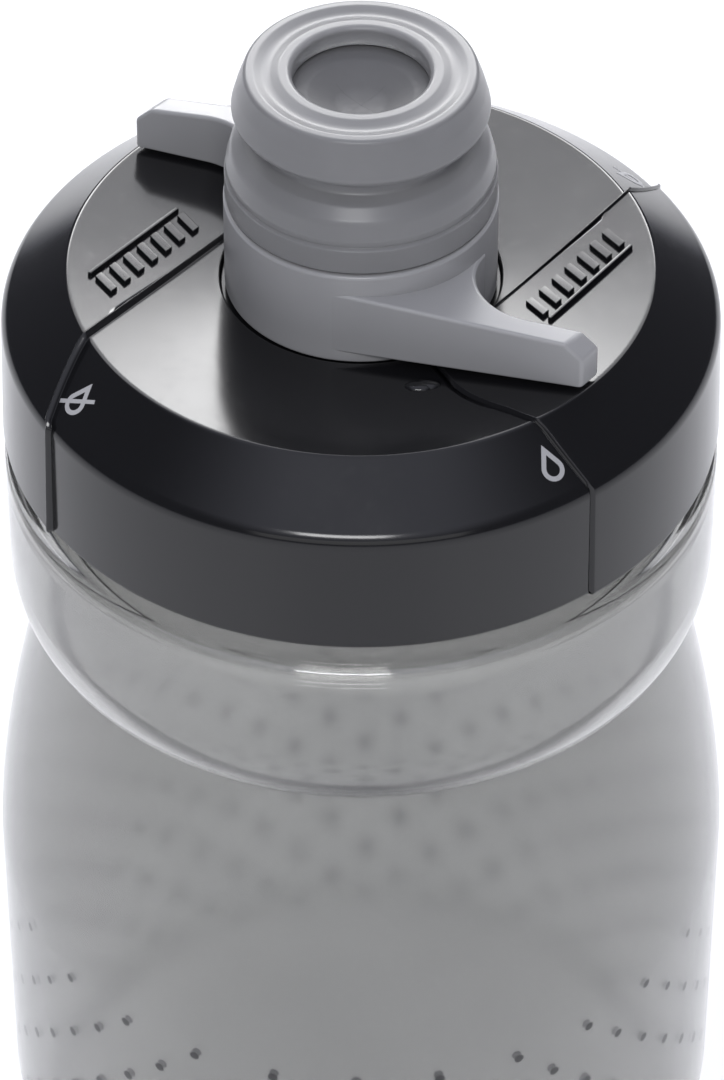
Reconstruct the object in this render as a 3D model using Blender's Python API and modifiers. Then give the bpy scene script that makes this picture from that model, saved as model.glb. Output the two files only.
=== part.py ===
"""Bicycle water bottle: squeeze body, screw cap, quarter-turn valve lever and soft nozzle.

Metres, +Z up, origin at the centre of the base. The cap unscrews about +Z, the lever
turns inside the cap and the nozzle pulls straight up off the lever.
"""

import math

import bmesh
import bpy
from mathutils import Matrix, Vector

MM = 0.001

# ---------------------------------------------------------------- driving dimensions
CLEAR = 0.3 * MM               # gap left between pieces that touch
SEG_LARGE = 48                 # facets round the body and the cap
SEG_SMALL = 32                 # facets round the valve pieces

# squeeze body
CAP_TOP_Z = 198.0 * MM         # height of the rim between the cap's deck and its chamfer
BODY_R = 36.75 * MM
BODY_WALL = 1.2 * MM
BASE_CORNER_R = 7.0 * MM
BASE_FLOOR = 1.6 * MM
PUSH_UP = 4.0 * MM             # height of the dome pressed up into the base
DOME_SHOULDER = 0.6            # where the dome turns down, as a share of its radius
DOME_FALL = 0.8                # its height there, as a share of the push-up
FOOT_INSET = 6.25 * MM         # from the wall in to the foot ring
FOOT_W = 4.0 * MM              # width of the foot ring
WAIST_Z = 82.0 * MM            # middle of the cage waist
WAIST_HALF = 12.0 * MM
WAIST_DEPTH = 2.3 * MM
SHOULDER_H = 33.5 * MM
SHOULDER_POWER = 1.65
BAND_H = 18.6 * MM             # glossy collar band, from the crease up to its top
BAND_TUCK = 6.0 * MM           # height over which the band curls in to the crease
CREASE_DEPTH = 3.4 * MM
BAND_EDGE_R = 1.2 * MM
BAND_GAP = 2.6 * MM            # from the cap's lower edge down to the band
BAND_WALL = 1.6 * MM

# neck and thread
NECK_R = 30.3 * MM
NECK_WALL = 2.0 * MM
LIP_GAP = 1.25 * MM            # lip of the neck below the gasket seat, with the gasket between
THREAD_PITCH = 5.0 * MM
THREAD_TURNS = 1.1
THREAD_H = 1.6 * MM            # height of a thread ridge at its root
THREAD_TIP = 0.7 * MM          # height of a thread ridge at its crest
THREAD_ROOT = 0.8 * MM         # how deep a ridge is sunk in the wall that carries it
THREAD_CLEAR = 0.7 * MM        # from the neck's thread out to the cap's bore
MALE_CREST = 1.3 * MM          # how far the neck's thread stands out
FEMALE_CREST = 1.5 * MM        # how far the cap's thread stands in
MALE_BOTTOM = 6.6 * MM         # lowest turn of the neck's thread above the band

# cap
CAP_H = 17.5 * MM
CAP_WALL = 1.5 * MM
CAP_DRAFT = 0.3 * MM           # how much narrower the side is at its top
CHAMFER_DROP = 4.95 * MM
CHAMFER_W = 6.3 * MM
DECK_DISH = 0.95 * MM          # the deck falls this much from its rim to the socket
DECK_T = 3.2 * MM              # underside of the deck below the rim
SEAT_DEPTH = 5.0 * MM          # gasket seat below the rim
SEAT_LAND = 2.1 * MM           # how far the seat reaches in past the neck's bore
SEAT_COVE = 0.9 * MM           # slope between the seat and the bore
STEP_H = 0.4 * MM              # how far the two side sectors stand proud
SKIN_ROOT = 0.8 * MM           # how deep a sector's skin is rooted in the cap
EDGE = 0.4 * MM                # small rounding on the cap's outer edges
NUB_R = 1.3 * MM
NUB_H = 0.35 * MM
NUB_OUT = 4.43 * MM            # from the socket out to a nub
NUB_AZIMUTH = -71.3

# raised grip bars on the proud sectors, square to the sectors' straight edges
GRIP_BARS = 7
GRIP_H = 0.4 * MM
GRIP_W = 0.95 * MM
GRIP_LENGTH = 2.6 * MM
GRIP_LEAN = 0.8 * MM
GRIP_IN = 2.2 * MM             # from the socket out to the bars
GRIP_START = 4.2 * MM
GRIP_MARGIN = 1.68 * MM        # from the bars' far corner to the deck's rim
RULE_GAP = 0.5 * MM
RULE_W = 0.4 * MM

# socket and spigot that carry the lever
SKIRT_R = 12.75 * MM           # outer radius of the lever's skirt
SOCKET_GAP = 0.45 * MM
SKIRT_WALL = 2.15 * MM
SKIRT_DIP = 1.3 * MM           # how far the skirt reaches below the rim
SPIGOT_GAP = 1.0 * MM
SPIGOT_WALL = 2.0 * MM
SPIGOT_TOP = 5.2 * MM
SOCKET_WALL = 1.0 * MM
SOCKET_FLOOR_T = 2.6 * MM
LEDGE = 1.0 * MM               # ledge in the spigot that carries the port disc

# lever
LEVER_EDGE_R = 0.4 * MM
WEB_GAP = 0.4 * MM             # from the port pad up to the lever's web
WEB_T = 1.6 * MM
CUP_DEPTH = 1.55 * MM          # from the lever's rim down to its web
CUP_WALL = 0.75 * MM
POST_R = 7.4 * MM
POST_WALL = 2.0 * MM
POST_EDGE = 0.4 * MM
PORT_R = 1.7 * MM
PORT_IN = 2.0 * MM             # from the post's bore in to the ports' middles
WING_ANGLE = math.radians(-15.7)
WING_INSET = 0.25 * MM         # a wing's flat face inside the skirt's outside
WING_T = 2.2 * MM
WING_LENGTH = 24.3 * MM
WING_SLANT = 1.0 * MM
WING_DROP = 2.0 * MM           # a wing's top below the lever's rim
WING_FALL = 1.25 * MM          # how much lower a wing's top is at its tip
WING_TIP_CUT = 2.0 * MM
WING_FILLET_R = 5.85 * MM
WING_FILLET_OUT = 5.45 * MM    # from the skirt out to the fillet's middle
WING_ROOT = 2.4 * MM           # how far a wing runs past the axis, inside the hub

# seals and port pieces
DISC_T = 2.0 * MM
PAD_T = 0.9 * MM
SEAL_SECTION_R = 0.6 * MM
SEAL_GROOVE_DEPTH = 0.8 * MM
SEAL_Z = 2.6 * MM
GASKET_OUT = 1.6 * MM          # from the cap's bore in to the gasket
GASKET_LAND = 1.2 * MM         # how far the gasket reaches in past the neck's bore

# nozzle
NOZZLE_H = 13.95 * MM          # how far the nozzle stands over the lever's rim
NOZZLE_INSET = 0.15 * MM       # the nozzle's band inside the skirt's outside
HEAD_H = 4.1 * MM              # height of the flared head
HEAD_INSET = 0.75 * MM         # the head's base inside the band
LIP_INSET = 2.0 * MM           # the lip inside the band
LIP_CROWN_IN = 2.0 * MM        # from the lip's outside in to its hollow
MOUTH_IN = 1.1 * MM            # the mouth inside the post's outside
MOUTH_DEPTH = 2.1 * MM
GROOVE_WALL = 1.9 * MM         # wall over the post in the grip groove
VALVE_T = 1.4 * MM
VALVE_DISH = 1.2 * MM
VALVE_FLAT_R = 3.0 * MM
SLIT_LENGTH = 6.4 * MM
SLIT_W = 0.35 * MM
RETAINER_T = 3.0 * MM
RETAINER_LEAD = 0.6 * MM

# plan of the proud sectors, in degrees round the axis on the left one
SECTOR_GRAZE = 142.2           # where the straight edge touches the socket
SECTOR_BACK = 130.0
SECTOR_SIDE = 172.0
SECTOR_FRONT = 217.0
SECTOR_KNEE_OUT = 1.0 * MM     # where the straight edge ends, outside the deck's rim
SECTOR_BEND = ((-0.7, 122.9), (3.26, 117.5), (5.36, 116.6), (7.7, 118.3))
SECTOR_BEND_END = (0.85, 125.3)

PARTS = "water_bottle"
CUTTERS = "cutters"

# ---------------------------------------------------------------- sizes that follow
CAP_BORE_R = NECK_R + MALE_CREST + THREAD_CLEAR
CAP_SKIRT_R = CAP_BORE_R + CAP_WALL
CAP_EDGE_R = CAP_SKIRT_R - CAP_DRAFT
DECK_R = CAP_EDGE_R - CHAMFER_W
SEAT_INNER_R = NECK_R - NECK_WALL - SEAT_LAND
BAND_R = CAP_SKIRT_R + STEP_H
CREASE_R = BAND_R - CREASE_DEPTH
FOOT_OUTER_R = BODY_R - FOOT_INSET
FOOT_INNER_R = FOOT_OUTER_R - FOOT_W
SOCKET_R = SKIRT_R + SOCKET_GAP
SPIGOT_R = SKIRT_R - SKIRT_WALL - SPIGOT_GAP
SPIGOT_BORE_R = SPIGOT_R - SPIGOT_WALL
CUP_R = SKIRT_R - CUP_WALL
WING_FACE = SKIRT_R - WING_INSET
NOZZLE_BAND_R = SKIRT_R - NOZZLE_INSET
MOUTH_R = POST_R - MOUTH_IN
POST_BORE_R = POST_R - POST_WALL
PORT_CIRCLE_R = POST_BORE_R - PORT_IN

# heights over the cap's rim
SOCKET_FLOOR = -SKIRT_DIP - 2 * CLEAR
WEB_BOTTOM = SPIGOT_TOP + WEB_GAP
WEB_TOP = WEB_BOTTOM + WEB_T
LEVER_TOP = WEB_TOP + CUP_DEPTH
NOZZLE_TOP = LEVER_TOP + NOZZLE_H
HEAD_BASE = NOZZLE_TOP - HEAD_H
VALVE_TOP = NOZZLE_TOP - MOUTH_DEPTH - CLEAR
RETAINER_TOP = VALVE_TOP - VALVE_T - CLEAR
POST_TOP = RETAINER_TOP - RETAINER_T - 2 * CLEAR

# heights over the base
BAND_TOP_Z = CAP_TOP_Z - CAP_H - BAND_GAP
LIP_Z = CAP_TOP_Z - SEAT_DEPTH - LIP_GAP
SHOULDER_TOP_Z = BAND_TOP_Z - BAND_H
BAND_TUCK_Z = SHOULDER_TOP_Z + BAND_TUCK
FEMALE_DROP = THREAD_H + CLEAR    # the cap's thread sits this far under the neck's


# ---------------------------------------------------------------- scene helpers
def clear_scene():
    for obj in list(bpy.data.objects):
        bpy.data.objects.remove(obj, do_unlink=True)


def collection(name):
    found = bpy.data.collections.get(name)
    if found is None:
        found = bpy.data.collections.new(name)
        bpy.context.scene.collection.children.link(found)
    return found


def plastic(name, colour, roughness, transmission=0.0):
    material = bpy.data.materials.new(name)
    material.use_nodes = True
    shader = material.node_tree.nodes["Principled BSDF"]
    shader.inputs["Base Color"].default_value = (*colour, 1.0)
    shader.inputs["Roughness"].default_value = roughness
    shader.inputs["Metallic"].default_value = 0.0
    shader.inputs["Transmission Weight"].default_value = transmission
    return material


def add_object(name, mesh, material=None, cutter=False):
    obj = bpy.data.objects.new(name, mesh)
    collection(CUTTERS if cutter else PARTS).objects.link(obj)
    if material:
        mesh.materials.append(material)
    if cutter:
        obj.hide_render = True
        obj.display_type = "WIRE"
    return obj


def add_screw(obj, segments):
    """Turn an object's profile all the way round the axis."""
    screw = obj.modifiers.new("turn", "SCREW")
    screw.steps = segments
    screw.render_steps = segments
    screw.use_merge_vertices = True
    screw.merge_threshold = 0.00001
    screw.use_smooth_shade = True


def turned(name, profile, segments, material=None, cutter=False):
    """Screw a profile of (radius, height) points; a closed one ends where it starts."""
    closed = profile[0] == profile[-1]
    points = profile[:-1] if closed else profile
    mesh = bpy.data.meshes.new(name)
    edges = [(i, i + 1) for i in range(len(points) - 1)]
    if closed:
        edges.append((len(points) - 1, 0))
    mesh.from_pydata([(r, 0.0, z) for r, z in points], edges, [])
    obj = add_object(name, mesh, material, cutter)
    add_screw(obj, segments)
    return obj


def boolean(obj, other, operation):
    cut = obj.modifiers.new(other.name, "BOOLEAN")
    cut.operation = operation
    cut.object = other
    cut.solver = "EXACT"


def mesh_from(bm, name):
    bmesh.ops.recalc_face_normals(bm, faces=bm.faces)
    mesh = bpy.data.meshes.new(name)
    bm.to_mesh(mesh)
    bm.free()
    return mesh


def prism(name, outline, bottom, top, cutter=True):
    """Extrude a plan outline of (x, y) points between two heights."""
    bm = bmesh.new()
    face = bm.faces.new([bm.verts.new((x, y, bottom)) for x, y in outline])
    grown = bmesh.ops.extrude_face_region(bm, geom=[face])
    raised = [v for v in grown["geom"] if isinstance(v, bmesh.types.BMVert)]
    bmesh.ops.translate(bm, verts=raised, vec=(0.0, 0.0, top - bottom))
    return add_object(name, mesh_from(bm, name), cutter=cutter)


def drill(name, radius, centre, bottom, top):
    bm = bmesh.new()
    bmesh.ops.create_cone(bm, cap_ends=True, segments=20, radius1=radius, radius2=radius, depth=top - bottom)
    place = Matrix.Translation((centre[0], centre[1], (bottom + top) / 2))
    bmesh.ops.transform(bm, matrix=place, verts=bm.verts)
    return add_object(name, mesh_from(bm, name), cutter=True)


def polar(radius, degrees):
    return (radius * math.cos(math.radians(degrees)), radius * math.sin(math.radians(degrees)))


def half_turned(points):
    """The same plan points, turned half a turn about the axis."""
    return [(-x, -y) for x, y in points]


def up(height):
    """Height measured from the cap's rim."""
    return CAP_TOP_Z + height


def deck_height(radius):
    """Height of the low deck over the rim's height, which dishes in to the socket."""
    share = (radius - SOCKET_R) / (DECK_R - SOCKET_R)
    return -DECK_DISH * (1.0 - share)


# ---------------------------------------------------------------- squeeze body
def shoulder(steps, inset=0.0):
    """Points down the shoulder from the crease to the straight wall."""
    points = []
    for i in range(steps + 1):
        share = i / steps
        swell = 1.0 - (1.0 - share) ** SHOULDER_POWER
        radius = CREASE_R + (BODY_R - CREASE_R) * swell
        points.append((radius - inset, SHOULDER_TOP_Z - SHOULDER_H * share))
    return points


def band_tuck(steps, inset=0.0):
    """Points down the curl from the band's straight side in to the crease."""
    points = []
    for i in range(steps):
        angle = math.pi / 2 * i / steps
        radius = CREASE_R + (BAND_R - CREASE_R) * math.cos(angle)
        points.append((radius - inset, BAND_TUCK_Z - BAND_TUCK * math.sin(angle)))
    return points


def waist(steps, inset=0.0):
    """Points down through the waist that a cage's tab drops into."""
    points = []
    for i in range(steps + 1):
        turn = 2 * math.pi * i / steps
        radius = BODY_R - WAIST_DEPTH * (1.0 - math.cos(turn)) / 2
        points.append((radius - inset, WAIST_Z + WAIST_HALF * (1.0 - 2.0 * i / steps)))
    return points


def base_corner(steps, inset=0.0, lift=0.0):
    """Points round the base corner, from the wall down to the foot."""
    points = []
    for i in range(steps + 1):
        angle = math.pi / 2 * i / steps
        radius = FOOT_OUTER_R + (BODY_R - FOOT_OUTER_R) * math.cos(angle)
        points.append((radius - inset, BASE_CORNER_R * (1.0 - math.sin(angle)) + lift))
    return points


def body_profile():
    dome_r = FOOT_INNER_R * DOME_SHOULDER
    dome_z = PUSH_UP * DOME_FALL
    bore = NECK_R - NECK_WALL
    inside = [(0.0, PUSH_UP + BASE_FLOOR), (dome_r, dome_z + BASE_FLOOR), (FOOT_INNER_R, BASE_FLOOR)]
    inside += list(reversed(base_corner(3, BODY_WALL, BASE_FLOOR)))
    inside += list(reversed(waist(6, BODY_WALL)))
    inside += list(reversed(shoulder(5, BODY_WALL)))
    inside += list(reversed(band_tuck(3, BAND_WALL)))
    inside.append((BAND_R - BAND_WALL, BAND_TOP_Z - NECK_WALL - BAND_EDGE_R))
    inside.append((bore, BAND_TOP_Z - NECK_WALL))
    inside.append((bore, LIP_Z))
    outside = [(NECK_R, LIP_Z), (NECK_R, BAND_TOP_Z), (BAND_R - BAND_EDGE_R, BAND_TOP_Z)]
    outside.append((BAND_R - 0.3 * BAND_EDGE_R, BAND_TOP_Z - 0.3 * BAND_EDGE_R))
    outside.append((BAND_R, BAND_TOP_Z - BAND_EDGE_R))
    outside += band_tuck(4) + shoulder(7) + waist(8) + base_corner(4)
    outside += [(FOOT_INNER_R, 0.0), (dome_r, dome_z), (0.0, PUSH_UP)]
    return inside + outside


def thread_ridge(name, root_r, crest_r, first_z):
    """A helical ridge that climbs anticlockwise, swept from a trapezium."""
    half = THREAD_H / 2
    tip = THREAD_TIP / 2
    section = [(root_r, first_z - half), (crest_r, first_z - tip)]
    section += [(crest_r, first_z + tip), (root_r, first_z + half)]
    steps = round(SEG_LARGE * THREAD_TURNS)
    facet = 2 * math.pi / SEG_LARGE
    bm = bmesh.new()
    first = bm.faces.new([bm.verts.new((r, 0.0, z)) for r, z in section])
    bmesh.ops.spin(
        bm, geom=[first], cent=(0, 0, 0), axis=(0, 0, 1), dvec=(0, 0, THREAD_PITCH / SEG_LARGE),
        angle=facet * steps, steps=steps, use_merge=False, use_duplicate=False,
    )
    # turned off the facets of the wall it joins, so that no edges coincide
    bmesh.ops.rotate(bm, verts=bm.verts, cent=(0, 0, 0), matrix=Matrix.Rotation(0.4 * facet, 3, "Z"))
    return add_object(name, mesh_from(bm, name), cutter=True)


def build_bottle_body(material):
    body = turned("bottle_body", body_profile(), SEG_LARGE, material)
    ridge = thread_ridge("neck_thread", NECK_R - THREAD_ROOT, NECK_R + MALE_CREST, BAND_TOP_Z + MALE_BOTTOM)
    boolean(body, ridge, "UNION")


# ---------------------------------------------------------------- cap
def cap_profile():
    """Closed profile of the cap with its deck at the lower level all round."""
    socket_under = SOCKET_FLOOR - SOCKET_FLOOR_T
    disc_ledge = SPIGOT_TOP - DISC_T - PAD_T - 2 * CLEAR
    groove_r = SPIGOT_R - SEAL_GROOVE_DEPTH
    groove_half = SEAL_SECTION_R + CLEAR
    return [
        (SOCKET_R, up(deck_height(SOCKET_R))),
        (DECK_R - 0.3 * MM, up(-0.08 * MM)),
        (DECK_R + EDGE, up(-0.25 * MM)),
        (CAP_EDGE_R - EDGE, up(-CHAMFER_DROP + EDGE)),
        (CAP_EDGE_R, up(-CHAMFER_DROP - EDGE)),
        (CAP_SKIRT_R, up(-CAP_H)),
        (CAP_BORE_R + EDGE, up(-CAP_H)),
        (CAP_BORE_R, up(-CAP_H + EDGE)),
        (CAP_BORE_R, up(-SEAT_DEPTH - 0.6 * SEAT_COVE)),
        (CAP_BORE_R - SEAT_COVE, up(-SEAT_DEPTH)),
        (SEAT_INNER_R, up(-SEAT_DEPTH)),
        (SEAT_INNER_R - 1.0 * MM, up(-DECK_T)),
        (SOCKET_R + SOCKET_WALL + 1.2 * MM, up(-DECK_T)),
        (SOCKET_R + SOCKET_WALL, up(socket_under)),
        (SPIGOT_BORE_R - LEDGE, up(socket_under)),
        (SPIGOT_BORE_R - LEDGE, up(disc_ledge)),
        (SPIGOT_BORE_R, up(disc_ledge)),
        (SPIGOT_BORE_R, up(SPIGOT_TOP)),
        (SPIGOT_R, up(SPIGOT_TOP)),
        (SPIGOT_R, up(SEAL_Z + groove_half)),
        (groove_r, up(SEAL_Z + groove_half)),
        (groove_r, up(SEAL_Z - groove_half)),
        (SPIGOT_R, up(SEAL_Z - groove_half)),
        (SPIGOT_R, up(SOCKET_FLOOR)),
        (SOCKET_R, up(SOCKET_FLOOR)),
        (SOCKET_R, up(deck_height(SOCKET_R))),
    ]


def raised_skin_profile():
    """Closed profile of the skin that makes a side sector proud, rooted inside the cap."""
    inner = SOCKET_R + CLEAR
    hem = -CAP_H + 0.1 * MM
    root_r = CAP_SKIRT_R - SKIN_ROOT
    return [
        (inner, up(deck_height(inner) + STEP_H)),
        (DECK_R, up(STEP_H - 0.08 * MM)),
        (DECK_R + 0.7 * MM, up(STEP_H - 0.3 * MM)),
        (CAP_EDGE_R, up(-CHAMFER_DROP + EDGE + STEP_H)),
        (CAP_EDGE_R + STEP_H, up(-CHAMFER_DROP - 0.3 * MM)),
        (CAP_SKIRT_R + STEP_H, up(hem)),
        (root_r, up(hem)),
        (root_r, up(-CHAMFER_DROP - 0.5 * MM)),
        (DECK_R, up(-1.4 * MM)),
        (inner, up(deck_height(inner) - SKIN_ROOT)),
        (inner, up(deck_height(inner) + STEP_H)),
    ]


def side_sector():
    """Plan outline of the left proud sector; it ends on the line that grazes the socket."""
    knee_r = DECK_R + SECTOR_KNEE_OUT
    knee = polar(knee_r, SECTOR_GRAZE + math.degrees(math.acos(SOCKET_R / knee_r)))
    bend = [polar(SOCKET_R + out * MM, azimuth) for out, azimuth in SECTOR_BEND]
    bend.append(polar(DECK_R + SECTOR_BEND_END[0] * MM, SECTOR_BEND_END[1]))
    beyond = [polar(2 * CAP_EDGE_R, azimuth) for azimuth in (SECTOR_BACK, SECTOR_SIDE, SECTOR_FRONT)]
    return [knee, polar(SOCKET_R, SECTOR_GRAZE)] + bend + beyond


def grip_bars():
    """Slanted raised bars with a rule beside them, on the right proud sector."""
    along = Vector(polar(1.0, SECTOR_GRAZE - 90))
    across = Vector((along.y, -along.x))
    inner = SOCKET_R + GRIP_IN
    outer = inner + GRIP_LENGTH
    rule = outer + RULE_GAP
    end = math.sqrt((DECK_R - GRIP_MARGIN) ** 2 - (rule + RULE_W) ** 2)
    pitch = (end - GRIP_W - GRIP_START) / (GRIP_BARS - 1)
    plans = []
    for i in range(GRIP_BARS):
        start = GRIP_START + i * pitch
        lean = start + GRIP_LEAN
        plans.append([(start, outer), (start + GRIP_W, outer), (lean + GRIP_W, inner), (lean, inner)])
    plans.append([(GRIP_START, rule + RULE_W), (end, rule + RULE_W), (end, rule), (GRIP_START, rule)])
    return [[tuple(along * a + across * d) for a, d in plan] for plan in plans]


def add_side_sectors(cap):
    skin = turned("side_skin", raised_skin_profile(), SEG_LARGE, cutter=True)
    left = side_sector()
    for side, outline in (("left", left), ("right", half_turned(left))):
        sector = prism(side + "_sector", outline, up(-CAP_H - 5 * MM), up(5 * MM))
        proud = add_object(side + "_skin", skin.data.copy(), cutter=True)
        add_screw(proud, SEG_LARGE)
        boolean(proud, sector, "INTERSECT")
        boolean(cap, proud, "UNION")


def add_grip_bars(cap):
    for i, outline in enumerate(grip_bars()):
        for side, points in (("right", outline), ("left", half_turned(outline))):
            reaches = [Vector(p).length for p in points]
            bottom = up(deck_height(min(reaches)) - 0.3 * MM)
            top = up(deck_height(max(reaches)) + STEP_H + GRIP_H)
            boolean(cap, prism("grip_%s_%d" % (side, i), points, bottom, top), "UNION")


def add_nubs(cap):
    """Two low nubs that the lever clicks past."""
    reach = SOCKET_R + NUB_OUT
    bottom = up(deck_height(reach) - SKIN_ROOT)
    top = up(deck_height(reach) + NUB_H)
    for i in range(2):
        nub = drill("nub_%d" % i, NUB_R, polar(reach, NUB_AZIMUTH + 180 * i), bottom, top)
        boolean(cap, nub, "UNION")


def build_cap_shell(material):
    cap = turned("cap_shell", cap_profile(), SEG_LARGE, material)
    add_side_sectors(cap)
    add_grip_bars(cap)
    add_nubs(cap)
    first_z = BAND_TOP_Z + MALE_BOTTOM - FEMALE_DROP
    ridge = thread_ridge("cap_thread", CAP_BORE_R + THREAD_CLEAR, CAP_BORE_R - FEMALE_CREST, first_z)
    boolean(cap, ridge, "UNION")


def build_cap_gasket(material):
    top = up(-SEAT_DEPTH) - CLEAR
    bottom = LIP_Z + CLEAR
    outer = CAP_BORE_R - GASKET_OUT
    inner = NECK_R - NECK_WALL - GASKET_LAND
    profile = [(outer, top), (outer, bottom), (inner, bottom), (inner, top), (outer, top)]
    turned("cap_gasket", profile, SEG_LARGE, material)


# ---------------------------------------------------------------- port pieces in the spigot
def port_centres():
    return [(PORT_CIRCLE_R, 0.0), (-PORT_CIRCLE_R, 0.0)]


def pierced_disc(name, bottom, top, material):
    """A round piece that fills the spigot's bore, with the two ports through it."""
    radius = SPIGOT_BORE_R - CLEAR
    profile = [(0.0, up(top)), (radius, up(top)), (radius, up(bottom)), (0.0, up(bottom))]
    disc = turned(name, profile, SEG_SMALL, material)
    for i, centre in enumerate(port_centres()):
        port = drill("%s_port_%d" % (name, i), PORT_R, centre, up(bottom - MM), up(top + MM))
        boolean(disc, port, "DIFFERENCE")


def build_port_disc(material):
    top = SPIGOT_TOP - PAD_T - CLEAR
    pierced_disc("port_disc", top - DISC_T, top, material)


def build_port_pad(material):
    pierced_disc("port_pad", SPIGOT_TOP - PAD_T, SPIGOT_TOP, material)


def build_lever_seal(material):
    """Round seal in the spigot's groove, which the lever's skirt turns against."""
    middle = SPIGOT_R - SEAL_GROOVE_DEPTH + CLEAR + SEAL_SECTION_R
    sides = 10
    profile = []
    for i in range(sides):
        angle = -2 * math.pi * i / sides
        reach = middle + SEAL_SECTION_R * math.cos(angle)
        profile.append((reach, up(SEAL_Z + SEAL_SECTION_R * math.sin(angle))))
    profile.append(profile[0])
    turned("lever_seal", profile, SEG_SMALL, material)


# ---------------------------------------------------------------- lever
def wing_outline():
    """Plan of one wing in its own axes: its flat face lies along -Y."""
    back = -(WING_FACE - WING_T)
    tip = WING_LENGTH + WING_SLANT
    points = [(-WING_ROOT, -WING_FACE), (WING_LENGTH, -WING_FACE), (tip, back)]
    centre = Vector((SKIRT_R + WING_FILLET_OUT, back + WING_FILLET_R))
    steps = 6
    for i in range(steps + 1):
        angle = math.radians(-90 - 110 * i / steps)
        spoke = Vector((math.cos(angle), math.sin(angle)))
        points.append(tuple(centre + spoke * WING_FILLET_R))
    inside = SKIRT_R - SKIRT_WALL
    points += [(0.75 * inside, -0.1 * inside), (-WING_ROOT, -0.75 * inside)]
    return points


def wing(name, turn):
    """One wing: its top falls towards the tip, where the corner is cut away."""
    bm = bmesh.new()
    low = up(-SKIRT_DIP + EDGE)
    face = bm.faces.new([bm.verts.new((x, y, low)) for x, y in wing_outline()])
    grown = bmesh.ops.extrude_face_region(bm, geom=[face])
    raised = [v for v in grown["geom"] if isinstance(v, bmesh.types.BMVert)]
    for v in raised:
        v.co.z = up(LEVER_TOP - WING_DROP - WING_FALL * v.co.x / WING_LENGTH)
    at_tip = [v for v in raised if v.co.x > WING_LENGTH - 0.1 * MM]
    tip = [e for e in bm.edges if all(v in at_tip for v in e.verts)]
    bmesh.ops.bevel(bm, geom=tip, offset=WING_TIP_CUT, segments=1, profile=0.5, affect="EDGES", material=-1)
    bmesh.ops.rotate(bm, verts=bm.verts, cent=(0, 0, 0), matrix=Matrix.Rotation(turn, 3, "Z"))
    return add_object(name, mesh_from(bm, name), cutter=True)


def wing_clearance():
    """What a wing may not fill: everything under the proud deck it sweeps over."""
    under = CLEAR + STEP_H
    inner = SKIRT_R - 1.5 * MM
    reach = WING_LENGTH + 6 * MM
    floor = up(-6 * MM)
    profile = [(inner, up(deck_height(inner) + under)), (reach, up(deck_height(reach) + under))]
    profile += [(reach, floor), (inner, floor), profile[0]]
    return turned("wing_sweep", profile, SEG_SMALL, cutter=True)


def hollow(lever, name, inner, outer, bottom, top):
    """Cut a round or ring-shaped hollow out of the lever, between two heights over the rim."""
    profile = [(inner, up(top)), (outer, up(top)), (outer, up(bottom)), (inner, up(bottom))]
    if inner:
        profile.append(profile[0])
    boolean(lever, turned(name, profile, SEG_SMALL, cutter=True), "DIFFERENCE")


def build_lever(material):
    block = [
        (0.0, up(POST_TOP)),
        (POST_R - POST_EDGE, up(POST_TOP)),
        (POST_R, up(POST_TOP - POST_EDGE)),
        (POST_R, up(LEVER_TOP)),
        (SKIRT_R - LEVER_EDGE_R, up(LEVER_TOP)),
        (SKIRT_R - 0.3 * LEVER_EDGE_R, up(LEVER_TOP - 0.3 * LEVER_EDGE_R)),
        (SKIRT_R, up(LEVER_TOP - LEVER_EDGE_R)),
        (SKIRT_R, up(-SKIRT_DIP)),
        (0.0, up(-SKIRT_DIP)),
    ]
    lever = turned("lever", block, SEG_SMALL, material)
    sweep = wing_clearance()
    for i in range(2):
        blade = wing("wing_%d" % i, WING_ANGLE + math.pi * i)
        boolean(blade, sweep, "DIFFERENCE")
        boolean(lever, blade, "UNION")
    hollow(lever, "skirt_hollow", 0.0, SKIRT_R - SKIRT_WALL, -4 * MM, WEB_BOTTOM)
    hollow(lever, "cup_hollow", POST_R, CUP_R, WEB_TOP, LEVER_TOP + MM)
    hollow(lever, "post_hollow", 0.0, POST_BORE_R, WEB_TOP, POST_TOP + MM)
    for i, centre in enumerate(port_centres()):
        port = drill("lever_port_%d" % i, PORT_R, centre, up(WEB_BOTTOM - MM), up(WEB_TOP + MM))
        boolean(lever, port, "DIFFERENCE")


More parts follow.
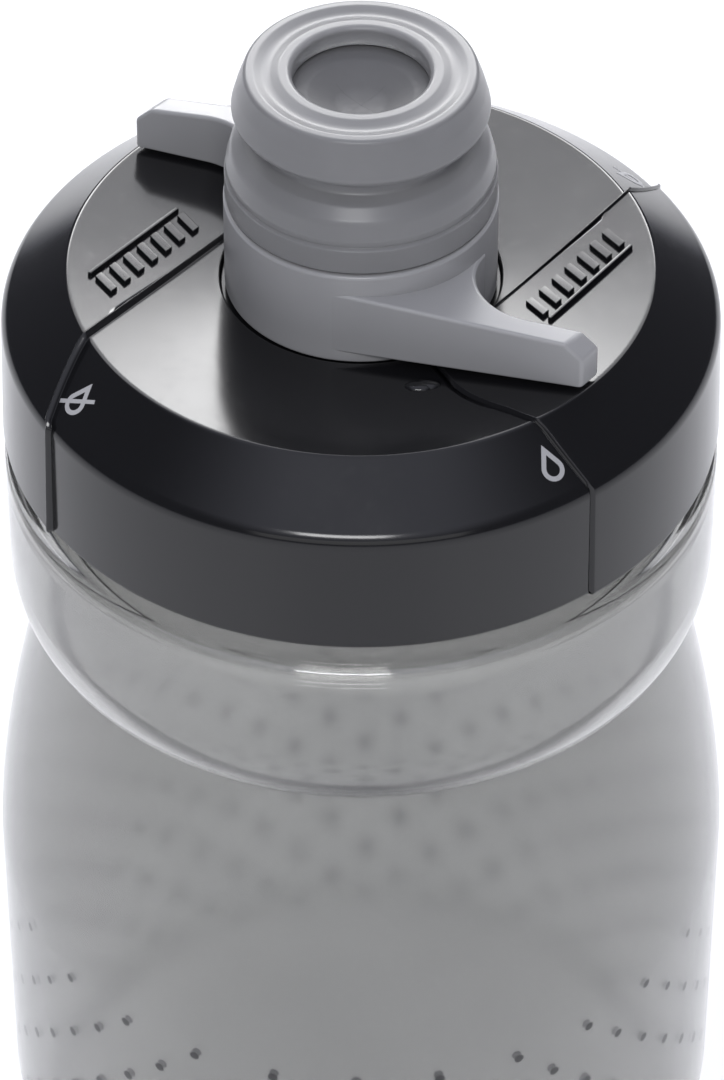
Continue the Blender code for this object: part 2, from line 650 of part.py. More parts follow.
# ---------------------------------------------------------------- nozzle
def nozzle_profile():
    """Closed profile: dished lip, flared head, grip groove, swelling skirt, seat and bore."""
    bore = POST_R + CLEAR
    ledge = NOZZLE_TOP - MOUTH_DEPTH
    seat = WEB_TOP + CLEAR
    seat_r = CUP_R - CLEAR
    lip_r = NOZZLE_BAND_R - LIP_INSET
    head_r = NOZZLE_BAND_R - HEAD_INSET
    groove_r = bore + GROOVE_WALL
    # the swelling under the groove, as (how far inside the band, how far under the head)
    swelling = [(1.6, 3.4), (0.7, 4.3), (0.2, 5.8), (0.1, 6.6), (0.0, 7.2)]
    return [
        (MOUTH_R, up(NOZZLE_TOP - 0.5 * MM)),
        (MOUTH_R + 0.6 * MM, up(NOZZLE_TOP - 0.1 * MM)),
        (lip_r - LIP_CROWN_IN, up(NOZZLE_TOP - 0.35 * MM)),
        (lip_r - 0.5 * MM, up(NOZZLE_TOP)),
        (lip_r, up(NOZZLE_TOP - 0.2 * MM)),
        (lip_r + 0.5 * MM, up(NOZZLE_TOP - 1.4 * MM)),
        (head_r, up(HEAD_BASE)),
        (head_r - 0.5 * MM, up(HEAD_BASE - 0.6 * MM)),
        (groove_r + 0.4 * MM, up(HEAD_BASE - 0.9 * MM)),
        (groove_r, up(HEAD_BASE - 1.6 * MM)),
        (groove_r + 0.2 * MM, up(HEAD_BASE - 2.5 * MM)),
        *[(NOZZLE_BAND_R - inset * MM, up(HEAD_BASE - drop * MM)) for inset, drop in swelling],
        (NOZZLE_BAND_R, up(LEVER_TOP + CLEAR)),
        (seat_r, up(LEVER_TOP + CLEAR)),
        (seat_r, up(seat)),
        (bore, up(seat)),
        (bore, up(ledge)),
        (MOUTH_R, up(ledge)),
        (MOUTH_R, up(NOZZLE_TOP - 0.5 * MM)),
    ]


def build_nozzle(material):
    turned("nozzle", nozzle_profile(), SEG_SMALL, material)


def build_slit_valve(material):
    """Soft dished disc whose crossed slits open when the bottle is squeezed."""
    dished = [(0.0, -VALVE_DISH), (VALVE_FLAT_R, -0.8 * VALVE_DISH)]
    dished += [(POST_BORE_R, -0.1 * VALVE_DISH), (POST_R, 0.0)]
    profile = [(r, up(VALVE_TOP + z)) for r, z in dished]
    profile += [(r, up(VALVE_TOP - VALVE_T + z)) for r, z in reversed(dished)]
    valve = turned("slit_valve", profile, SEG_SMALL, material)
    half = SLIT_LENGTH / 2
    for i in range(2):
        cut = Vector(polar(1.0, 45 + 90 * i))
        side = Vector((-cut.y, cut.x)) * (SLIT_W / 2)
        corners = [cut * half + side, -cut * half + side, -cut * half - side, cut * half - side]
        slit = prism("slit_%d" % i, [tuple(c) for c in corners], up(VALVE_TOP - 4 * MM), up(VALVE_TOP + MM))
        boolean(valve, slit, "DIFFERENCE")


def build_valve_retainer(material):
    bottom = RETAINER_TOP - RETAINER_T
    profile = [
        (POST_R, up(RETAINER_TOP)), (POST_R, up(bottom)), (POST_BORE_R, up(bottom)),
        (POST_BORE_R, up(RETAINER_TOP - RETAINER_LEAD)), (POST_BORE_R + RETAINER_LEAD, up(RETAINER_TOP)),
        (POST_R, up(RETAINER_TOP)),
    ]
    turned("valve_retainer", profile, SEG_SMALL, material)


# ---------------------------------------------------------------- assembly
def main():
    clear_scene()
    smoke = plastic("smoke_polyethylene", (0.36, 0.37, 0.38), 0.38, 0.7)
    black = plastic("gloss_black_cap", (0.012, 0.012, 0.014), 0.12)
    grey = plastic("light_grey_lever", (0.34, 0.34, 0.36), 0.28)
    silicone = plastic("grey_silicone", (0.24, 0.24, 0.26), 0.42, 0.1)
    seal = plastic("clear_silicone", (0.55, 0.55, 0.55), 0.5)
    build_bottle_body(smoke)
    build_cap_shell(black)
    build_cap_gasket(seal)
    build_port_disc(black)
    build_port_pad(seal)
    build_lever_seal(seal)
    build_lever(grey)
    build_nozzle(silicone)
    build_slit_valve(silicone)
    build_valve_retainer(grey)


main()
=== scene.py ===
"""Looks of a squeezable bicycle bottle: frosted body, gloss cap, valve lever and soft nozzle.

The frame is in metres, +Z up. Sizes here are in millimetres, apart from RIM_Z, and MM turns
them into metres. Heights on the body count from its base; heights on the cap and its valve
count from the cap's rim, where deck and chamfer meet.
"""

import math

import bmesh
import bpy
from mathutils import Matrix, Vector


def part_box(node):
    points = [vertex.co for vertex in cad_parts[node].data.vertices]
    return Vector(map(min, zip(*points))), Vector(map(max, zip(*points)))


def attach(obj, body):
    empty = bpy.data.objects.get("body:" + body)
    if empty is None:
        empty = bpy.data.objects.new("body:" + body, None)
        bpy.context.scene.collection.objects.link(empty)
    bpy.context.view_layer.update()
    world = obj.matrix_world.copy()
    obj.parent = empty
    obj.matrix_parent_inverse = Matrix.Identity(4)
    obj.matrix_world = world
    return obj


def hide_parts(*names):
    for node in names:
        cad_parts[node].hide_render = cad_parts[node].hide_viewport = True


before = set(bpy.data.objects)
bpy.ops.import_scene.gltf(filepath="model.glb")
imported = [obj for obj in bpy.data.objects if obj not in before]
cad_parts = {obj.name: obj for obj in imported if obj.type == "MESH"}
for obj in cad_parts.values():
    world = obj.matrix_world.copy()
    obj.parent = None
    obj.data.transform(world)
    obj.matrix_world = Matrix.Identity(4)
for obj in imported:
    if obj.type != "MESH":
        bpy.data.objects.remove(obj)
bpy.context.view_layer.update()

MM = 0.001
UP = Vector((0, 0, 1))

# ---------------------------------------------------------------- sizes read from the frame
cap_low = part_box("cap_shell")[0]
nozzle_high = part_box("nozzle")[1]
body_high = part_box("bottle_body")[1]

CAP_H = 17.5
RIM_Z = cap_low.z + CAP_H * MM
LIP_Z = body_high.z / MM
NOZZLE_TOP = (nozzle_high.z - RIM_Z) / MM

# ---------------------------------------------------------------- sizes of the body
BODY_R = 36.75
WALL = 1.2
NECK_R = 30.3
NECK_BORE_R = 28.3
BAND_R = 34.2
BAND_TOP = RIM_Z / MM - CAP_H - 2.6
BAND_FOOT_H = 6.0                                # the collar band curves in to the crease
CREASE_Z, CREASE_R = 159.3, 30.8
SHOULDER_H = 33.5
SHOULDER_FULLNESS = 1.65
WAIST_Z, WAIST_HALF, WAIST_DEPTH = 82.0, 12.0, 2.3
BASE_EDGE_W, BASE_EDGE_H = 6.25, 7.0
FLOOR_WALL = 1.6

# ---------------------------------------------------------------- sizes of the cap and its valve
STEP_H = 0.4                                     # how far the side sectors of the cap stand proud
RIM_R = 27.2
EDGE_R, EDGE_Z = 33.5, -4.95                     # the chamfer's outer edge
SIDE_R = 33.8
SKIRT_R = 12.75
SOCKET_R = SKIRT_R + 0.45
DISH = 0.95
SKIRT_LOW = -1.3
LEVER_TOP = 8.75
NUB_R = 17.6                                     # the click nubs' distance from the axis
WING_AZIMUTH = -15.7
WING_FACE, WING_BACK, WING_L = -12.72, -10.3, 24.3
VALVE_DROP = 2.4                                 # the slit valve's flat rim, below the nozzle's lip

# one start of a 5 mm thread; the cap's ridge runs below the neck's
PITCH = 5.0
THREAD_TURNS = 1.1
NECK_THREAD_Z = BAND_TOP + 6.6
CAP_THREAD_Z = NECK_THREAD_Z - 1.9

# seen round the axis, in degrees from +X: the middles of the two printed symbols
DROP_AZIMUTH = 304.0
STRUCK_DROP_AZIMUTH = 212.4
INK_H = 0.02


# ---------------------------------------------------------------- sections
def rounded(corners, arc=5, support=0.12):
    """Section points through (radius, height, fillet, cuts) corners, in millimetres.

    A fillet gets arc steps and a support point on each side of it; cuts is how many more
    points the straight run after the corner holds.
    """
    pieces = []
    for i, (r, z, fillet, cuts) in enumerate(corners):
        here = Vector((r, z))
        if not fillet or i in (0, len(corners) - 1):
            pieces.append(([here], cuts))
            continue
        back = Vector(corners[i - 1][:2]) - here
        on = Vector(corners[i + 1][:2]) - here
        back_way, on_way = back.normalized(), on.normalized()
        half = back_way.angle(on_way) / 2
        reach = min(fillet / math.tan(half), 0.46 * back.length, 0.46 * on.length)
        radius = reach * math.tan(half)
        centre = here + (back_way + on_way).normalized() * radius / math.sin(half)
        start, end = here + back_way * reach, here + on_way * reach
        first, last = (start - centre).normalized(), (end - centre).normalized()
        held = min(support, 0.03 * back.length, 0.03 * on.length)
        run = [start + back_way * held]
        run += [centre + first.slerp(last, k / arc) * radius for k in range(arc + 1)]
        run.append(end + on_way * held)
        pieces.append((run, cuts))
    points = []
    for i, (run, cuts) in enumerate(pieces):
        points += run
        if cuts and i + 1 < len(pieces):
            goal = pieces[i + 1][0][0]
            points += [run[-1].lerp(goal, k / (cuts + 1)) for k in range(1, cuts + 1)]
    return points


def raised(points):
    """Section points whose heights count from the cap's rim, in metres."""
    return [Vector((p.x * MM, RIM_Z + p.y * MM)) for p in points]


def standing(points):
    """Section points whose heights count from the base, in metres."""
    return [Vector((p.x * MM, p.y * MM)) for p in points]


# ---------------------------------------------------------------- mesh helpers
def finished(bm, name, body, material, sharp=None):
    """Close a mesh, point its faces outwards, shade it smooth and hang it on its body."""
    bmesh.ops.remove_doubles(bm, verts=bm.verts, dist=0.002 * MM)
    bmesh.ops.recalc_face_normals(bm, faces=bm.faces)
    mesh = bpy.data.meshes.new(name)
    bm.to_mesh(mesh)
    bm.free()
    mesh.shade_smooth()
    if sharp:
        mesh.set_sharp_from_angle(angle=math.radians(sharp))
    mesh.materials.append(material)
    piece = bpy.data.objects.new(name, mesh)
    bpy.context.scene.collection.objects.link(piece)
    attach(piece, body)
    return piece


def lathe(bm, points, segments):
    """Spin a section of (radius, height) points all the way round the axis."""
    verts = [bm.verts.new((p.x, 0, p.y)) for p in points]
    edges = [bm.edges.new(pair) for pair in zip(verts, verts[1:])]
    bmesh.ops.spin(
        bm, geom=verts + edges, cent=(0, 0, 0), axis=UP,
        angle=math.tau, steps=segments, use_merge=True, use_duplicate=False,
    )


def add_solid(bm, solid):
    """Add one bmesh's shape to another and free it."""
    mesh = bpy.data.meshes.new("solid")
    solid.to_mesh(mesh)
    solid.free()
    bm.from_mesh(mesh)
    bpy.data.meshes.remove(mesh)


def add_ridge(bm, section, pitch, turns, segments):
    """Add a small closed section of (radius, height) points, swept up a helix."""
    swept = bmesh.new()
    face = swept.faces.new([swept.verts.new((r, 0, z)) for r, z in section])
    steps = round(segments * turns)
    bmesh.ops.spin(
        swept, geom=[face], cent=(0, 0, 0), axis=UP, dvec=(0, 0, pitch / segments),
        angle=math.tau * steps / segments, steps=steps, use_merge=False, use_duplicate=False,
    )
    add_solid(bm, swept)


def add_thread(bm, half, start):
    """Add a thread ridge; half is the upper half of its section, as (radius, height) pairs in mm."""
    section = [(r, start - z) for r, z in half] + [(r, start + z) for r, z in reversed(half)]
    add_ridge(bm, [(r * MM, z * MM) for r, z in section], PITCH * MM, THREAD_TURNS, 144)


def add_modifier(piece, kind, **settings):
    modifier = piece.modifiers.new(kind.title(), kind)
    for key, value in settings.items():
        setattr(modifier, key, value)
    return modifier


def cut_away(piece, *shapes):
    """Cut closed bmesh shapes out of a piece, one after another, and keep the result."""
    cutters = []
    for i, shape in enumerate(shapes):
        mesh = bpy.data.meshes.new("cutter")
        shape.to_mesh(mesh)
        shape.free()
        cutters.append(bpy.data.objects.new("cutter_%d" % i, mesh))
        bpy.context.scene.collection.objects.link(cutters[-1])
        add_modifier(piece, "BOOLEAN", operation="DIFFERENCE", object=cutters[-1], solver="EXACT")
    bpy.context.view_layer.update()
    cut = bpy.data.meshes.new_from_object(piece.evaluated_get(bpy.context.evaluated_depsgraph_get()))
    piece.modifiers.clear()
    piece.data = cut
    for cutter in cutters:
        bpy.data.objects.remove(cutter)


# ---------------------------------------------------------------- shader helpers
class Value:
    """A number on a surface; arithmetic on it adds Math nodes to its material."""

    def __init__(self, finish, socket):
        self.finish = finish
        self.socket = socket

    def maths(self, operation, *others, flipped=False):
        terms = [self, *others]
        if flipped:
            terms.reverse()
        return self.finish.node("ShaderNodeMath", {"operation": operation}, dict(enumerate(terms)))

    def __add__(self, other):
        return self.maths("ADD", other)

    def __sub__(self, other):
        return self.maths("SUBTRACT", other)

    def __mul__(self, other):
        return self.maths("MULTIPLY", other)

    def __truediv__(self, other):
        return self.maths("DIVIDE", other)

    def __rsub__(self, other):
        return self.maths("SUBTRACT", other, flipped=True)

    __radd__ = __add__
    __rmul__ = __mul__

    def between(self, low, high, out_low=0.0, out_high=1.0):
        """Smooth ramp from out_low at low to out_high at high."""
        inputs = {0: self, 1: low, 2: high, 3: out_low, 4: out_high}
        return self.finish.node("ShaderNodeMapRange", {"interpolation_type": "SMOOTHSTEP"}, inputs)


class Finish:
    """One material: a Principled surface and the nodes that feed it."""

    def __init__(self, name, **surface):
        self.material = bpy.data.materials.new(name)
        self.material.use_nodes = True
        self.tree = self.material.node_tree
        self.shader = self.tree.nodes["Principled BSDF"]
        for key, value in surface.items():
            self.set(key.replace("_", " ").title().replace("Ior", "IOR"), value)

    def feed(self, socket, value):
        if isinstance(value, Value):
            self.tree.links.new(value.socket, socket)
        elif isinstance(value, (tuple, list)) and socket.type == "RGBA" and len(value) == 3:
            socket.default_value = (*value, 1.0)
        else:
            socket.default_value = value

    def set(self, name, value):
        self.feed(self.shader.inputs[name], value)

    def node(self, kind, settings=None, inputs=None, output=0):
        """A node of a kind, with its settings made first and then its sockets fed."""
        made = self.tree.nodes.new(kind)
        for key, value in (settings or {}).items():
            if key == "stops":
                ramp = made.color_ramp.elements
                while len(ramp) < len(value):
                    ramp.new(1.0)
                for stop, (place, colour) in zip(ramp, value):
                    stop.position, stop.color = place, (*colour, 1.0)
            else:
                setattr(made, key, value)
        for key, value in (inputs or {}).items():
            self.feed(made.inputs[key], value)
        return Value(self, made.outputs[output])

    def place(self):
        """Object coordinates, as a vector."""
        return self.node("ShaderNodeTexCoord", output="Object")

    def parts(self, vector):
        return [self.node("ShaderNodeSeparateXYZ", None, {0: vector}, output=i) for i in range(3)]

    def noise(self, scale, detail=3.0, rough=0.5, vector=None):
        vector = vector or self.place()
        inputs = {"Vector": vector, "Scale": scale, "Detail": detail, "Roughness": rough}
        return self.node("ShaderNodeTexNoise", None, inputs, output=0)

    def blend(self, mask, first, second):
        """Mix two colours by a mask."""
        made = self.tree.nodes.new("ShaderNodeMix")
        made.data_type = "RGBA"
        for socket, value in ((0, mask), (6, first), (7, second)):
            self.feed(made.inputs[socket], value)
        return Value(self, made.outputs[2])

    def bump(self, height, depth, strength=1.0, after=None):
        inputs = {"Height": height, "Distance": depth, "Strength": strength}
        if after:
            inputs["Normal"] = after
        return self.node("ShaderNodeBump", None, inputs)


# ---------------------------------------------------------------- materials
def smoke_plastic():
    """Frosted smoke-grey polyethylene, polished on the collar band, with its printed dots; the same
    dots are painted on the wall's inside as painted shadow copies of the print.
    """
    finish = Finish("smoke_polyethylene", transmission_weight=0.9, ior=1.5)
    place = finish.place()
    x, y, z = finish.parts(place)
    height = z / MM
    azimuth = y.maths("ARCTAN2", x) / math.tau
    # printed dots, every second row half a column on, fading out down the body; the mask also falls on
    # the wall's inside, where its dark copies are painted shadow of the print
    columns, row_pitch, top_row, rows_end = 28.0, 3.93, RIM_Z / MM - 73.35, 50.0
    row = (top_row - height) / row_pitch
    row_number = row.maths("ROUND")
    shifted = azimuth * columns + 0.058 + row_number * 0.5
    across = (shifted - shifted.maths("ROUND")) * (math.tau * BODY_R / columns)
    along = (row - row_number) * row_pitch
    distance = (across * across + along * along).maths("SQRT")
    swelling = row_number.between(0.0, 9.0, 0.52, 0.78)
    dot = (distance - swelling).between(-0.09, 0.09, 1.0, 0.0)
    below_top = height.between(top_row + 1.6, top_row + 1.5)
    above_end = height.between(top_row - rows_end, top_row - rows_end + 1.0)
    print_and_shadow_dots = dot * (below_top * above_end)
    mottle = finish.noise(38.0, 4.0, 0.6, place)
    plain = finish.blend(mottle.between(0.3, 0.7), (0.535, 0.535, 0.52), (0.565, 0.565, 0.55))
    # dark dots: print on the outer wall, painted shadow on the inner wall
    finish.set("Base Color", finish.blend(print_and_shadow_dots, plain, (0.008, 0.008, 0.009)))
    polish = height.between(CREASE_Z + 0.2, CREASE_Z + 2.4)
    frost = finish.noise(700.0, 2.0, 0.6, place).between(0.25, 0.75, 0.09, 0.12)
    handling = finish.noise(24.0, 5.0, 0.65, place).between(0.35, 0.75, -0.01, 0.03)
    finish.set("Roughness", (frost + handling) * (1 - polish) + polish * 0.08)
    ripple = finish.noise(55.0, 2.0, 0.4, place)
    finish.set("Normal", finish.bump(ripple, 0.06 * MM, 0.3))
    return finish.material


def gloss_black():
    """Injection-moulded gloss black, with faint flow ripple and handling haze."""
    finish = Finish("gloss_black_cap", base_color=(0.007, 0.007, 0.008), ior=1.5)
    place = finish.place()
    haze = finish.noise(45.0, 6.0, 0.7, place)
    hair = finish.noise(900.0, 3.0, 0.6, place)
    finish.set("Roughness", haze.between(0.35, 0.8, 0.13, 0.19) + hair.between(0.55, 0.8, 0.0, 0.05))
    ripple = finish.noise(70.0, 2.0, 0.4, place)
    finish.set("Normal", finish.bump(ripple, 0.02 * MM, 0.35))
    return finish.material


def lever_grey():
    """Light grey gloss plastic of the valve lever."""
    finish = Finish("light_grey_lever", ior=1.48)
    place = finish.place()
    mottle = finish.noise(60.0, 4.0, 0.6, place)
    grey = finish.blend(mottle.between(0.3, 0.7), (0.345, 0.345, 0.352), (0.36, 0.36, 0.367))
    finish.set("Base Color", grey)
    haze = finish.noise(120.0, 5.0, 0.7, place)
    finish.set("Roughness", haze.between(0.3, 0.8, 0.22, 0.27))
    skin = finish.noise(900.0, 2.0, 0.5, place)
    finish.set("Normal", finish.bump(skin, 0.006 * MM, 0.2))
    return finish.material


def nozzle_silicone():
    """Translucent grey silicone with a soft satin skin."""
    finish = Finish("grey_silicone", transmission_weight=0.4, ior=1.42)
    place = finish.place()
    mottle = finish.noise(80.0, 4.0, 0.6, place)
    grey = finish.blend(mottle.between(0.3, 0.7), (0.34, 0.34, 0.347), (0.365, 0.365, 0.372))
    finish.set("Base Color", grey)
    haze = finish.noise(160.0, 5.0, 0.7, place)
    finish.set("Roughness", haze.between(0.3, 0.8, 0.30, 0.34))
    skin = finish.noise(160.0, 2.0, 0.4, place)
    finish.set("Normal", finish.bump(skin, 0.02 * MM, 0.15))
    return finish.material


def valve_silicone():
    """Darker matt silicone of the slit valve."""
    finish = Finish("valve_silicone", base_color=(0.15, 0.15, 0.153), ior=1.42)
    skin = finish.noise(1400.0, 3.0, 0.6)
    finish.set("Roughness", skin.between(0.3, 0.7, 0.5, 0.62))
    finish.set("Normal", finish.bump(skin, 0.01 * MM, 0.4))
    return finish.material


def seal_silicone():
    """Clear silicone of the gasket, pad and round seal."""
    finish = Finish("clear_silicone", base_color=(0.6, 0.6, 0.6), transmission_weight=0.3, ior=1.42)
    skin = finish.noise(900.0, 3.0, 0.6)
    finish.set("Roughness", skin.between(0.3, 0.7, 0.38, 0.5))
    finish.set("Normal", finish.bump(skin, 0.01 * MM, 0.3))
    return finish.material


def pad_print():
    """Light grey ink, slightly matt and thinner at its speckles."""
    finish = Finish("light_grey_ink", ior=1.5)
    speck = finish.noise(1600.0, 3.0, 0.6)
    grey = finish.blend(speck.between(0.62, 0.78), (0.42, 0.42, 0.43), (0.30, 0.30, 0.31))
    finish.set("Base Color", grey)
    finish.set("Roughness", speck.between(0.3, 0.7, 0.42, 0.55))
    return finish.material


# ---------------------------------------------------------------- squeeze body
def quarter(r, z, wide, high, shares):
    """Points at shares of a quarter turn, from (r + wide, z + high) down to (r, z)."""
    points = []
    for share in shares:
        angle = math.pi / 2 * share
        points.append(Vector((r + wide * math.cos(angle), z + high * (1 - math.sin(angle)))))
    return points


def shoulder(wall, steps):
    """Points from the crease down to the body's full width, a wall's thickness in."""
    points = []
    for i in range(steps + 1):
        share = i / steps
        swell = 1 - (1 - share) ** SHOULDER_FULLNESS
        r = CREASE_R - wall + (BODY_R - CREASE_R) * swell
        points.append(Vector((r, CREASE_Z - SHOULDER_H * share)))
    return points


def waist(wall, steps):
    """Points down the groove for the bottle's cage, a wall's thickness in."""
    points = []
    for i in range(steps + 1):
        depth = WAIST_DEPTH * (1 - math.cos(math.tau * i / steps)) / 2
        points.append(Vector((BODY_R - wall - depth, WAIST_Z + WAIST_HALF * (1 - 2 * i / steps))))
    return points


def body_outside():
    """Section from the lip of the neck down to the middle of the base."""
    top = BAND_TOP
    points = rounded([
        (29.3, LIP_Z, 0, 0), (NECK_R, LIP_Z, 0.4, 6), (NECK_R, top, 0.5, 4),
        (BAND_R, top - 0.3, 1.0, 8), (BAND_R, CREASE_Z + BAND_FOOT_H, 0, 0),
    ])
    shares = [i / 13 for i in range(1, 13)]
    points += quarter(CREASE_R, CREASE_Z, BAND_R - CREASE_R, BAND_FOOT_H, shares)
    points += shoulder(0, 44)
    points += [Vector((BODY_R, CREASE_Z - SHOULDER_H - 5.0 * i)) for i in range(1, 6)]
    points += waist(0, 40)
    points += [Vector((BODY_R, 64.0 - 8.0 * i)) for i in range(7)]
    shares = [i / 15 for i in range(1, 15)]
    points += quarter(BODY_R - BASE_EDGE_W, 0.0, BASE_EDGE_W, BASE_EDGE_H, shares)
    points += rounded([(30.3, 0, 0, 2), (26.5, 0, 0.8, 3), (15.9, 3.2, 6.0, 3), (0, 4.0, 0, 0)])
    return points


def body_inside():
    """The cavity's section, from the middle of the floor up to the lip."""
    floor = FLOOR_WALL
    points = rounded([(0, 5.6, 0, 4), (15.9, 4.8, 5.0, 4), (26.5, floor, 0.8, 2), (28.9, floor, 0, 0)])
    shares = [1 - i / 12 for i in range(1, 13)]
    points += quarter(BODY_R - WALL - BASE_EDGE_W, floor, BASE_EDGE_W, BASE_EDGE_H, shares)
    points += [Vector((BODY_R - WALL, 16.0 + 9.0 * i)) for i in range(6)]
    points += reversed(waist(WALL, 32))
    points += [Vector((BODY_R - WALL, 99.0 + 5.0 * i)) for i in range(5)]
    points += reversed(shoulder(WALL, 36))
    shares = [1 - i / 10 for i in range(1, 11)]
    points += quarter(CREASE_R - 1.3, CREASE_Z, BAND_R - CREASE_R - 0.3, BAND_FOOT_H, shares)
    top, band = BAND_TOP - 2.0, BAND_R - 1.6
    points += rounded([
        (band, CREASE_Z + BAND_FOOT_H + 0.3, 0, 6), (band, top, 1.8, 2), (NECK_BORE_R, top, 0.9, 6),
        (NECK_BORE_R, LIP_Z, 0.4, 0), (29.3, LIP_Z, 0, 0),
    ])
    return points


def make_body(material):
    bm = bmesh.new()
    lathe(bm, standing(body_outside() + body_inside()), 160)
    add_thread(bm, [(29.6, 0.95), (NECK_R, 0.85), (31.45, 0.4), (31.6, 0.2)], NECK_THREAD_Z)
    piece = finished(bm, "squeeze_body", "bottle", material)
    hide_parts("bottle_body")
    return piece


# ---------------------------------------------------------------- cap
def deck_height(r):
    """Height of the low deck, which dishes from the rim down to the socket."""
    return -DISH * (RIM_R - r) / (RIM_R - SOCKET_R)


def read_off(pairs, x):
    """Value at x on the straight runs through (x, value) pairs."""
    if x <= pairs[0][0]:
        return pairs[0][1]
    for (x0, y0), (x1, y1) in zip(pairs, pairs[1:]):
        if x <= x1:
            return y0 + (y1 - y0) * (x - x0) / (x1 - x0)
    return pairs[-1][1]


def curved_edge(guide):
    """Azimuth of a proud sector's curved edge at a guide radius, on the left sector."""
    return read_off([(17.2, 117.2), (18.9, 117.0), (20.7, 118.1), (22.5, 120.2), (24.4, 122.7),
                     (28.0, 126.0), (SIDE_R, 128.7)], guide)


def straight_edge(guide):
    """Azimuth of a proud sector's straight edge, which grazes the socket, on the left sector."""
    square = 142.2
    bend_r, at_side = 28.2, 212.0
    at_bend = square + math.degrees(math.acos(SOCKET_R / bend_r))
    if guide >= bend_r:
        return at_bend + (at_side - at_bend) * min(1.0, (guide - bend_r) / (SIDE_R - bend_r))
    return square + math.degrees(math.acos(min(1.0, SOCKET_R / guide)))


def cap_section(proud):
    """Closed section of the cap, from the socket's rim outwards; proud is the sectors' lift."""
    at_socket, at_rim = deck_height(SOCKET_R) + proud, deck_height(RIM_R) + proud
    shift = 0.3 if proud else 0.0
    corners = [
        (SOCKET_R, -1.5, 0, 0), (SOCKET_R, at_socket, 0.18, 22), (RIM_R + shift, at_rim, 0.55, 9),
        (EDGE_R + 0.75 * proud, EDGE_Z + 0.8 * proud, 1.8, 4), (SIDE_R + proud, -CAP_H, 0.35, 1),
        # the skirt's inside and the underside, in to the spigot
        (32.6, -CAP_H, 0.25, 0), (32.3, -17.0, 0.2, 3), (32.3, -5.7, 0.3, 0), (31.5, -5.0, 0.2, 2),
        (26.2, -5.0, 0.3, 1), (25.2, -3.2, 0.5, 4), (15.4, -3.2, 0.8, 1), (14.2, -4.5, 0.4, 3),
        (6.6, -4.5, 0.2, 2), (6.6, 1.7, 0.1, 0), (7.6, 1.7, 0.1, 1), (7.6, 5.2, 0.25, 0),
        # the spigot's groove for the round seal, and the socket's floor
        (9.6, 5.2, 0.3, 1), (9.6, 3.5, 0.1, 0), (8.8, 3.5, 0.1, 1), (8.8, 1.7, 0.1, 0),
        (9.6, 1.7, 0.1, 2), (9.6, -1.9, 0.3, 2), (SOCKET_R, -1.9, 0.3, 0), (SOCKET_R, -1.5, 0, 0),
    ]
    return rounded(corners, arc=4, support=0.1)


def guide_radii(section):
    """Radius at which each section point takes its sector edges' azimuths.

    On the outside it is the point's own radius; under the cap it is led back to the socket's.
    """
    skirt_foot = 0.05 - CAP_H
    first = next(i for i, p in enumerate(section) if p.y < skirt_foot)
    guides = [max(SOCKET_R, min(SIDE_R, p.x)) if p.y > -5.0 else SIDE_R for p in section[:first]]
    run = 0.6 * (len(section) - first)
    for i in range(len(section) - first):
        guides.append(SIDE_R + (SOCKET_R - SIDE_R) * min(1.0, i / run))
    return guides


def cap_columns():
    """Columns round the cap as (sector edge before, share to the next edge, offset in mm, lift).

    A lift of 1 is the proud level. A fine groove runs along the foot of each curved edge's
    step, and a low bead along the top of each straight edge's.
    """
    wall = [(-0.31, 0.0), (-0.28, -0.03), (-0.26, -0.5), (-0.09, -0.6),
            (-0.02, 0.92), (0.02, 0.99), (0.08, 1.0)]
    columns = []
    for half in (0, 1):
        columns += [(2 * half, 0.0, offset, lift) for offset, lift in wall]
        columns += [(2 * half, (k + 0.5) / 52, 0.0, 1.0) for k in range(52)]
        columns += [(2 * half + 1, 0.0, offset, 1.0 - lift) for offset, lift in wall]
        columns += [(2 * half + 1, (k + 0.5) / 68, 0.0, 0.0) for k in range(68)]
    return columns


def make_cap(material):
    low = cap_section(0.0)
    high = cap_section(STEP_H)
    guides = guide_radii(low)
    columns = cap_columns()
    bm = bmesh.new()
    bmesh.ops.create_grid(bm, x_segments=len(columns), y_segments=len(low) - 1, size=1)
    bm.verts.ensure_lookup_table()
    wide = len(columns) + 1
    for row, (p, q, guide) in enumerate(zip(low, high, guides)):
        curved, straight = curved_edge(guide), straight_edge(guide)
        edges = [curved, straight, curved + 180, straight + 180, curved + 360]
        for column in range(wide):
            before, share, offset, lift = columns[column % len(columns)]
            turn = 360 if column == len(columns) else 0
            azimuth = edges[before] + (edges[before + 1] - edges[before]) * share + turn
            azimuth = math.radians(azimuth) + offset / guide
            at = p.lerp(q, lift)
            spot = bm.verts[row * wide + column]
            spot.co = (at.x * MM * math.cos(azimuth), at.x * MM * math.sin(azimuth), RIM_Z + at.y * MM)
    add_thread(bm, [(32.9, 0.95), (32.3, 0.85), (31.0, 0.35), (30.8, 0.2)], CAP_THREAD_Z)
    piece = finished(bm, "cap", "cap", material)
    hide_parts("cap_shell")
    return piece


